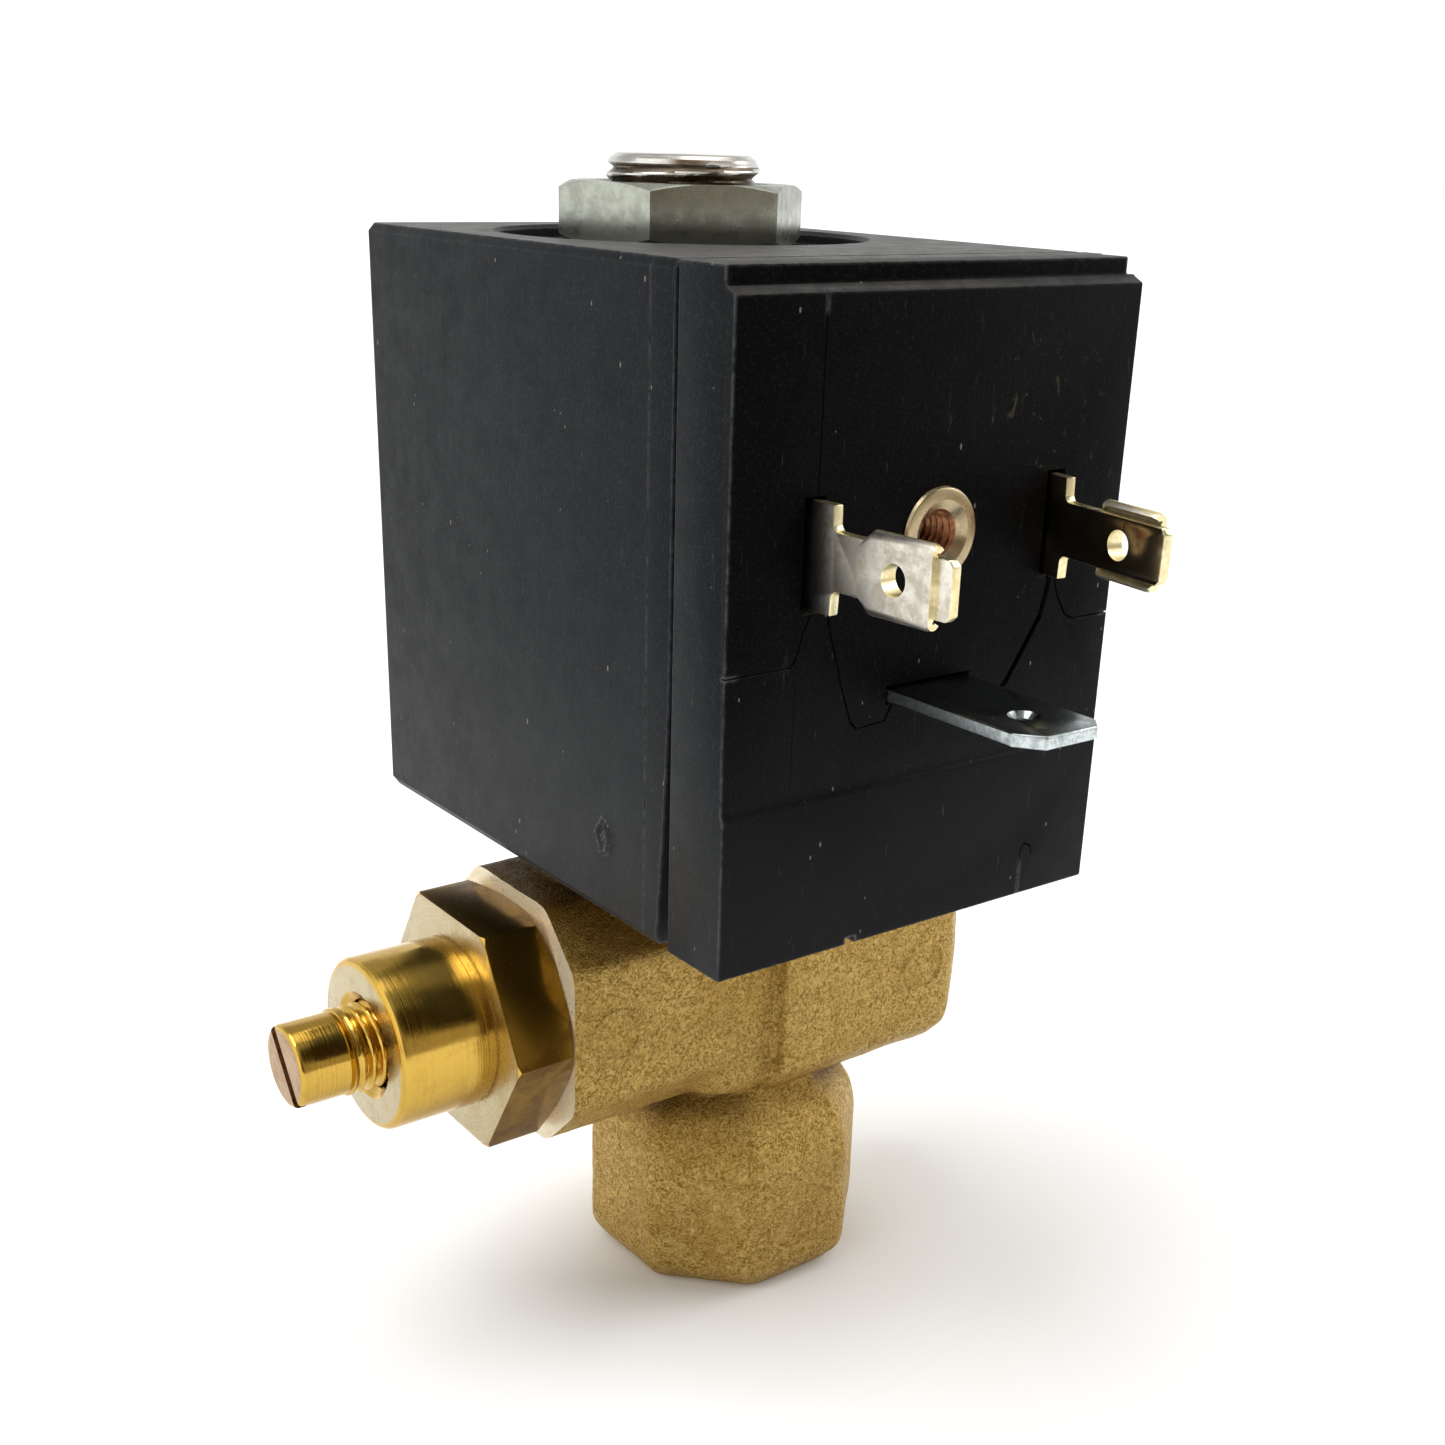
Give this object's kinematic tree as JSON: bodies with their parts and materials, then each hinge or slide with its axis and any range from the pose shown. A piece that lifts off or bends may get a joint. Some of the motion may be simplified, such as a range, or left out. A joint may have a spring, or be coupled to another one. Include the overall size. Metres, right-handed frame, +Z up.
{
  "type": "solenoid valve",
  "caption": "Direct-acting solenoid valve: forged brass body with bottom and side pipe ports and a needle flow regulator, under a block coil with flat contacts.",
  "frame": {"origin": "centre of the bottom port's mouth, on its end face", "axes": "+Z up along the armature tube, from the bottom port to the coil nut; -Y towards the coil's contacts; +X towards the side port, -X towards the regulator"},
  "size_m": [0.0533, 0.0522, 0.0812],
  "materials": {
    "forged_brass": "shot-blasted hot forging, grainy and satin",
    "turned_brass": "bright turned, fine tool marks",
    "stainless": "bright turned",
    "zinc_plate": "zinc plated, slightly greenish",
    "tinned_brass": "tinned, pale yellow cut edges",
    "iron": "dull soft iron",
    "copper": "enamelled copper",
    "black_moulding": "matte black moulding with scuffs",
    "rubber": "matte",
    "nylon": "natural"
  },
  "bodies": {
    "valve": {"valve_body": "forged_brass", "armature_tube": "stainless", "tube_nut": "zinc_plate", "tube_o_ring": "rubber", "fixed_core": "stainless", "shading_ring": "copper", "regulator_bonnet": "turned_brass", "bonnet_o_ring": "rubber", "coil_nut": "zinc_plate", "spring_washer": "iron", "coil_gasket": "rubber"},
    "coil": {"coil_housing": "black_moulding", "connector_block": "black_moulding", "power_tab_left": "tinned_brass", "power_tab_right": "tinned_brass", "earth_tab": "zinc_plate", "screw_insert": "turned_brass", "yoke_frame": "iron", "yoke_strap": "iron", "bobbin": "nylon", "winding": "copper", "start_lead": "copper", "finish_lead": "copper"},
    "plunger": {"plunger": "stainless", "plunger_seal": "rubber", "plunger_spring": "stainless"},
    "needle_carriage": {"needle_o_ring": "rubber"},
    "needle": {"needle_screw": "turned_brass"}
  },
  "joints": [
    {"name": "coil_swivel", "type": "hinge", "parent": "valve", "child": "coil", "pos_m": [-0.0058, 0, 0.0375], "axis": [0, 0, 1], "range_deg": [-180, 180]},
    {"name": "plunger_lift", "type": "slide", "parent": "valve", "child": "plunger", "axis": [0, 0, 1], "range_m": [0, 0.0018], "stiffness_N_per_m": 150, "springref_m": -0.003, "deforming": ["plunger_spring"]},
    {"name": "needle_travel", "type": "slide", "parent": "valve", "child": "needle_carriage", "axis": [1, 0, 0], "range_m": [-0.00112, 0.003]},
    {"name": "needle_turn", "type": "hinge", "parent": "needle_carriage", "child": "needle", "pos_m": [-0.0366, 0, 0.025], "axis": [1, 0, 0], "range_deg": [-541, 1441]}
  ],
  "couplings": [
    {"joint": "needle_turn", "follows": "needle_travel", "rad_per_m": 8377.6}
  ]
}
